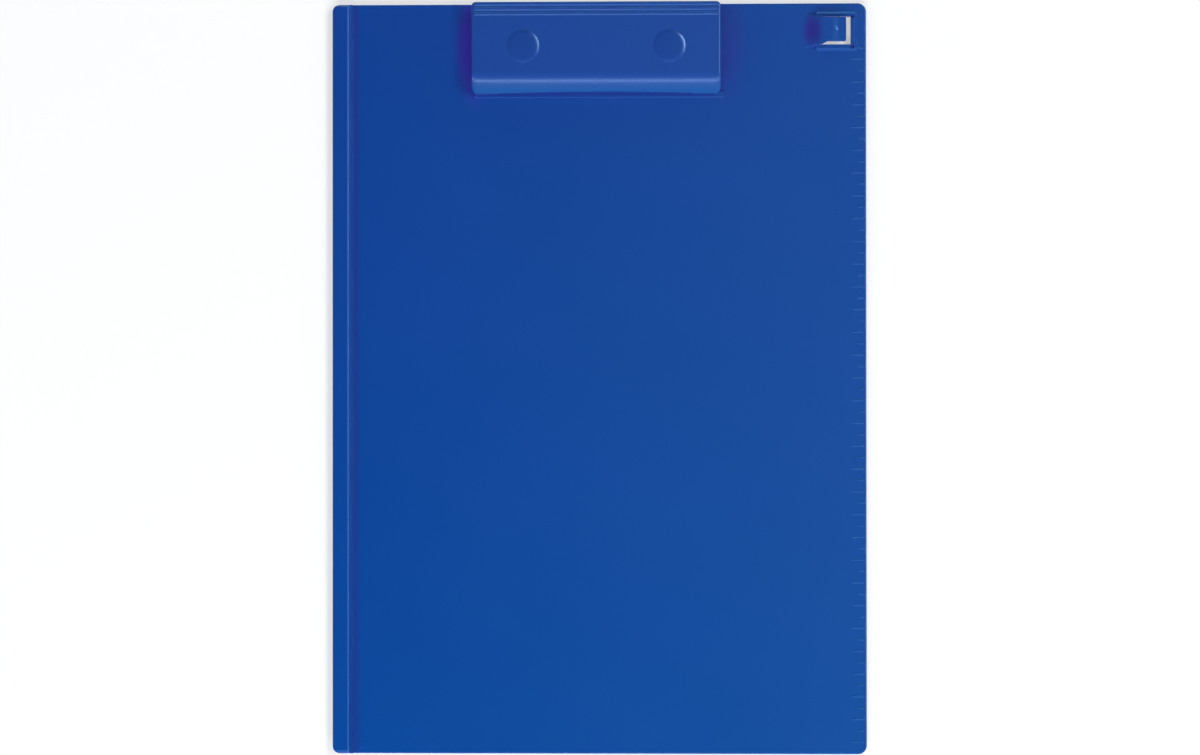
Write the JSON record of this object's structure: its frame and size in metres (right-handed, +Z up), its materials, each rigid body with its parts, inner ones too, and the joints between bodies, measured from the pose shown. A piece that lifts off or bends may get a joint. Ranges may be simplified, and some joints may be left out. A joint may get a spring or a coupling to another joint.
{
  "type": "clipboard",
  "caption": "Flat moulded clipboard for A4 paper with a sprung lever clip, a paper stop rib, an edge scale and a corner tongue for a pen clip.",
  "frame": {"origin": "centre of the board's underside", "axes": "+X to the right across the page, +Y up the page towards the clip, +Z up out of the page; the board lies on its back"},
  "size_m": [0.235, 0.33, 0.0146],
  "materials": {
    "blue_plastic": "satin gloss moulded polystyrene",
    "bright_steel": "zinc plated steel",
    "dark_steel": "oiled spring steel",
    "nylon": "natural moulded nylon"
  },
  "bodies": {
    "base": {"board": "blue_plastic", "hinge_pin": "bright_steel", "bracket_left": "bright_steel", "bracket_right": "bright_steel", "bracket_rivets": "dark_steel", "rivet_washers": "bright_steel", "spring_left": "dark_steel", "spring_right": "dark_steel", "spring_bush_left": "nylon", "spring_bush_right": "nylon"},
    "lever": {"clip_lever": "blue_plastic"}
  },
  "joints": [
    {"name": "clip_hinge", "type": "hinge", "parent": "base", "child": "lever", "pos_m": [0, 0.1454, 0.0079], "axis": [-1, 0, 0], "range_deg": [0, 24], "stiffness_Nm_per_rad": 0.32, "springref_deg": -40.11, "deforming": ["spring_left", "spring_right"]}
  ]
}
